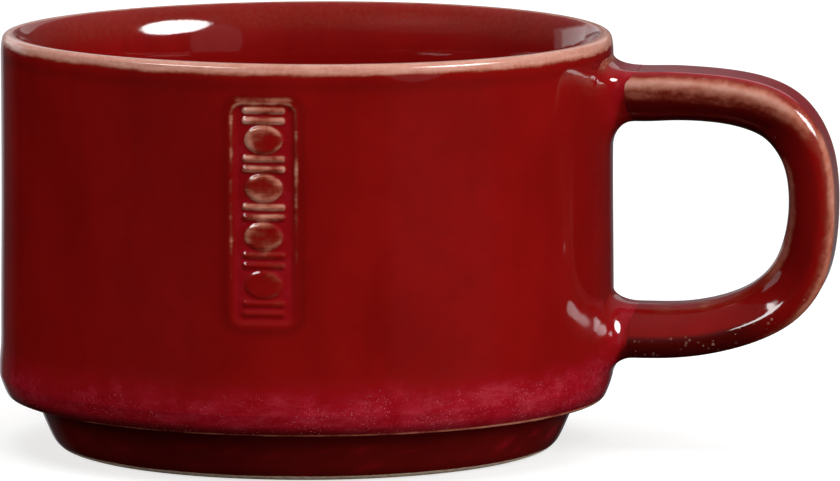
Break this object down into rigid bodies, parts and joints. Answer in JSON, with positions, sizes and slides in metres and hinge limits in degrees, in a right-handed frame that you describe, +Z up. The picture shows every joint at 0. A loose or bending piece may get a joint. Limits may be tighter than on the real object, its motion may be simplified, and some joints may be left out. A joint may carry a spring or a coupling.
{
  "type": "stacking stoneware coffee cup",
  "caption": "Straight-walled glazed stoneware cup on a stepped stacking foot, with one strap handle luted to the wall through smoothed clay collars.",
  "frame": {"origin": "centre of the foot's standing face, on the table", "axes": "+Z up along the cup's axis, +X towards the handle, -Y towards the impressed panel, a quarter turn from the handle"},
  "size_m": [0.1236, 0.0904, 0.0609],
  "materials": {
    "oxblood_glaze": "glossy dark red glaze over buff stoneware, thin and tan-pink on edges, thick and crimson in hollows",
    "foot_glaze": "the same glaze on the foot, wiped off the standing face down to buff clay",
    "bare_clay": "matt bare buff stoneware"
  },
  "bodies": {
    "root": {"cup_body": "oxblood_glaze", "foot_ring": "foot_glaze", "foot_joint": "bare_clay", "handle": "oxblood_glaze", "upper_handle_joint": "oxblood_glaze", "lower_handle_joint": "oxblood_glaze"}
  },
  "joints": []
}
